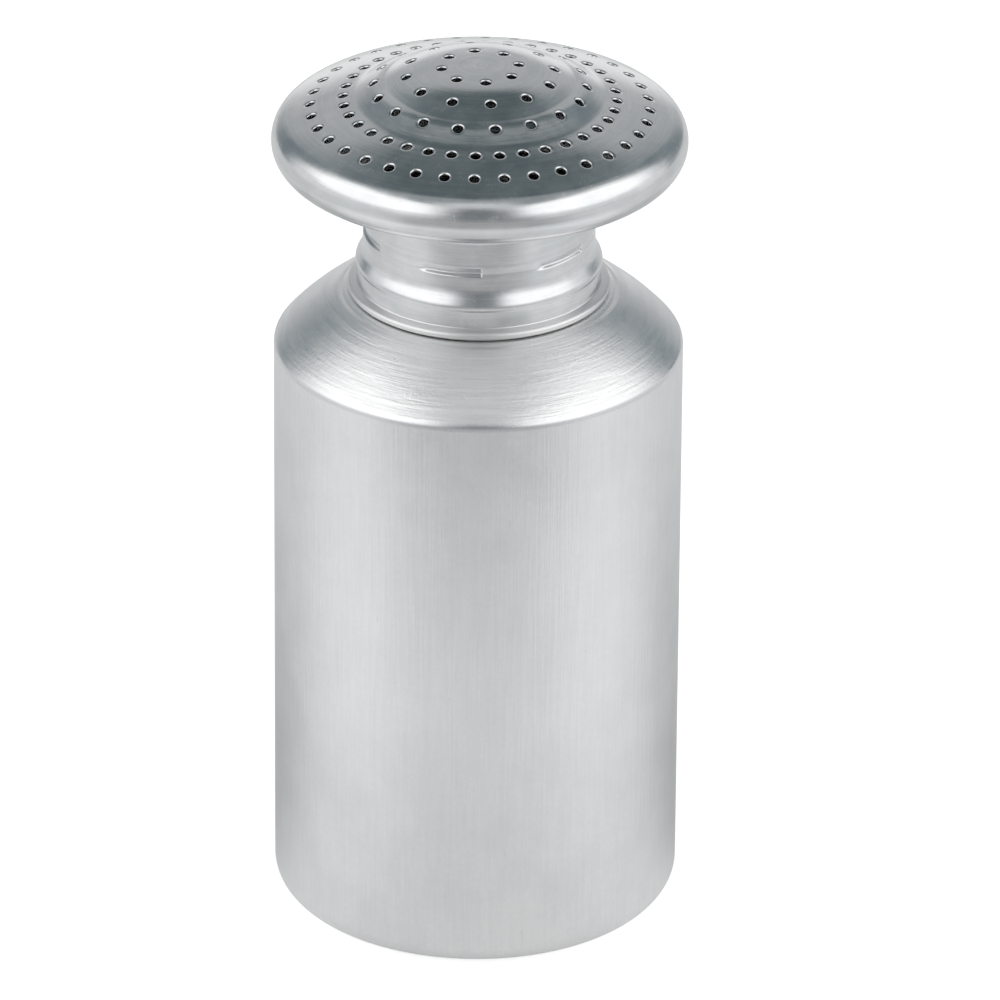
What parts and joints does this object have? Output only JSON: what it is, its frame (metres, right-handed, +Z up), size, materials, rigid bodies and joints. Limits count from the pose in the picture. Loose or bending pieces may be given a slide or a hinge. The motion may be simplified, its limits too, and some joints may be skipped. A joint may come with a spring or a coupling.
{
  "type": "powder shaker with screw cap",
  "caption": "Aluminium shaker bottle with a sloping shoulder and a screw-on mushroom cap whose stepped dome is perforated in rings, for icing sugar, flour or spice.",
  "frame": {"origin": "on the axis, in the plane of the ring that the bottle stands on", "axes": "+Z up along the axis, from the base to the crown of the cap; -Y is the front"},
  "size_m": [0.0858, 0.0858, 0.1882],
  "materials": {
    "satin_aluminium": "satin, drawn and lightly scuffed",
    "bright_aluminium": "bright spun",
    "sleeve_plastic": "moulded, natural white",
    "washer_rubber": "matt food-grade silicone"
  },
  "bodies": {
    "bottle": {"bottle": "satin_aluminium"},
    "washer": {"sealing_washer": "washer_rubber"},
    "cap": {"shaker_cap": "bright_aluminium", "threaded_sleeve": "sleeve_plastic"}
  },
  "joints": [
    {"name": "cap_rise", "type": "slide", "parent": "bottle", "child": "washer", "axis": [0, 0, 1], "range_m": [0, 0.01201]},
    {"name": "cap_turn", "type": "hinge", "parent": "washer", "child": "cap", "pos_m": [0, 0, 0.155], "axis": [0, 0, 1], "range_deg": [0, 1080]}
  ],
  "couplings": [
    {"joint": "cap_rise", "follows": "cap_turn", "m_per_rad": 0.00063662}
  ]
}
